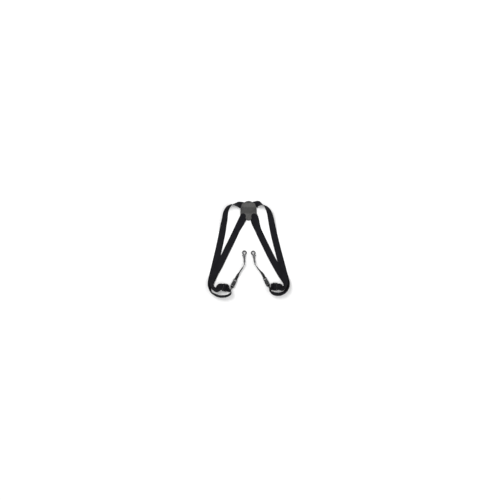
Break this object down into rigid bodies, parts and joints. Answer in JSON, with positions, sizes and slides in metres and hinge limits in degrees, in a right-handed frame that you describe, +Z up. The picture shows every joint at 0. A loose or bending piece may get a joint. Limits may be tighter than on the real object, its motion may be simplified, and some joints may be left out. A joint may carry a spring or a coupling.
{
  "type": "binocular chest harness",
  "caption": "Flat elastic shoulder harness with a leather yoke, crossing straps, sliders, side-release buckles and swivel snap hooks on narrow leads.",
  "frame": {"origin": "middle of the footprint, on the surface that the harness lies on", "axes": "+Y from the hooks to the yoke, +X to the right seen from the front face, +Z up out of the surface"},
  "size_m": [0.3111, 0.3669, 0.0318],
  "materials": {
    "black_elastic": "matt woven elastic",
    "yoke_backing": "dark leather, close to black",
    "yoke_leather": "worn black leather, faded to charcoal",
    "thread": "waxed thread",
    "tape": "flat woven tape",
    "black_nylon": "moulded, fine satin grain",
    "gunmetal": "dark gunmetal plating, worn bright at the edges",
    "bright_steel": "plain steel"
  },
  "bodies": {
    "root": {"yoke_front_panel": "yoke_leather", "yoke_rear_panel": "yoke_backing", "yoke_stitching": "thread", "left_outer_strap": "black_elastic", "left_inner_strap": "black_elastic", "left_ring": "black_nylon", "right_outer_strap": "black_elastic", "right_inner_strap": "black_elastic", "right_ring": "black_nylon"},
    "left_slider": {"left_slider": "black_nylon", "left_strap_tail": "black_elastic", "left_strap_end": "black_elastic"},
    "left_socket": {"left_link_tape": "tape", "left_buckle_socket": "black_nylon"},
    "left_plug": {"left_buckle_plug": "black_nylon", "left_lead_tape": "tape"},
    "left_left_arm": {"left_left_arm": "black_nylon"},
    "left_right_arm": {"left_right_arm": "black_nylon"},
    "left_eye": {"left_hook_eye": "gunmetal", "left_swivel_post": "bright_steel"},
    "left_hook": {"left_hook": "gunmetal", "left_gate_pin": "bright_steel", "left_gate_spring": "bright_steel"},
    "left_gate": {"left_gate": "gunmetal"},
    "right_slider": {"right_slider": "black_nylon", "right_strap_tail": "black_elastic", "right_strap_end": "black_elastic"},
    "right_socket": {"right_link_tape": "tape", "right_buckle_socket": "black_nylon"},
    "right_plug": {"right_buckle_plug": "black_nylon", "right_lead_tape": "tape"},
    "right_left_arm": {"right_left_arm": "black_nylon"},
    "right_right_arm": {"right_right_arm": "black_nylon"},
    "right_eye": {"right_hook_eye": "gunmetal", "right_swivel_post": "bright_steel"},
    "right_hook": {"right_hook": "gunmetal", "right_gate_pin": "bright_steel", "right_gate_spring": "bright_steel"},
    "right_gate": {"right_gate": "gunmetal"}
  },
  "joints": [
    {"name": "left_slider_slide", "type": "slide", "parent": "root", "child": "left_slider", "axis": [0.7646, -0.1906, -0.6157], "range_m": [-0.003, 0], "deforming": ["left_strap_tail", "left_strap_end"]},
    {"name": "left_buckle_swing", "type": "hinge", "parent": "root", "child": "left_socket", "pos_m": [-0.06745, -0.1514, 0.0082], "axis": [0, 0, 1], "range_deg": [0, 6]},
    {"name": "left_buckle_release", "type": "slide", "parent": "left_socket", "child": "left_plug", "axis": [0.4352, 0.9003, 0], "range_m": [0, 0.014], "deforming": ["left_left_arm", "left_right_arm"]},
    {"name": "left_left_arm_squeeze", "type": "hinge", "parent": "left_plug", "child": "left_left_arm", "pos_m": [-0.05848, -0.12364, 0.0041], "axis": [0, 0, 1], "range_deg": [0, 11], "stiffness_Nm_per_rad": 0.05},
    {"name": "left_right_arm_squeeze", "type": "hinge", "parent": "left_plug", "child": "left_right_arm", "pos_m": [-0.05127, -0.12712, 0.0041], "axis": [0, 0, -1], "range_deg": [0, 11], "stiffness_Nm_per_rad": 0.05},
    {"name": "left_eye_turn", "type": "hinge", "parent": "left_plug", "child": "left_eye", "pos_m": [-0.0165, -0.0564, 0.0086], "axis": [0, 0.1184, 0.993], "range_deg": [-6, 50]},
    {"name": "left_hook_swivel", "type": "hinge", "parent": "left_eye", "child": "left_hook", "pos_m": [-0.0165, -0.04697, 0.00747], "axis": [0, 0.993, -0.1184], "continuous": true},
    {"name": "left_gate_open", "type": "hinge", "parent": "left_hook", "child": "left_gate", "pos_m": [-0.0179, -0.02502, 0.00486], "axis": [0, -0.1184, -0.993], "range_deg": [0, 22], "stiffness_Nm_per_rad": 0.02, "springref_deg": -17.19},
    {"name": "right_slider_slide", "type": "slide", "parent": "root", "child": "right_slider", "axis": [-0.788, 0, -0.6157], "range_m": [-0.003, 0], "deforming": ["right_strap_tail", "right_strap_end"]},
    {"name": "right_buckle_swing", "type": "hinge", "parent": "root", "child": "right_socket", "pos_m": [0.07803, -0.14591, 0.0082], "axis": [0, 0, -1], "range_deg": [0, 6]},
    {"name": "right_buckle_release", "type": "slide", "parent": "right_socket", "child": "right_plug", "axis": [-0.4384, 0.8988, 0], "range_m": [0, 0.014], "deforming": ["right_left_arm", "right_right_arm"]},
    {"name": "right_left_arm_squeeze", "type": "hinge", "parent": "right_plug", "child": "right_left_arm", "pos_m": [0.06177, -0.12169, 0.0041], "axis": [0, 0, 1], "range_deg": [0, 11], "stiffness_Nm_per_rad": 0.05},
    {"name": "right_right_arm_squeeze", "type": "hinge", "parent": "right_plug", "child": "right_right_arm", "pos_m": [0.06896, -0.11818, 0.0041], "axis": [0, 0, -1], "range_deg": [0, 11], "stiffness_Nm_per_rad": 0.05},
    {"name": "right_eye_turn", "type": "hinge", "parent": "right_plug", "child": "right_eye", "pos_m": [0.0238, -0.0566, 0.0086], "axis": [0.0185, -0.1169, -0.993], "range_deg": [-6, 25]},
    {"name": "right_hook_swivel", "type": "hinge", "parent": "right_eye", "child": "right_hook", "pos_m": [0.02232, -0.04728, 0.00747], "axis": [-0.1553, 0.9807, -0.1184], "continuous": true},
    {"name": "right_gate_open", "type": "hinge", "parent": "right_hook", "child": "right_gate", "pos_m": [0.02027, -0.02539, 0.00486], "axis": [-0.0185, 0.1169, 0.993], "range_deg": [0, 22], "stiffness_Nm_per_rad": 0.02, "springref_deg": -17.19}
  ]
}
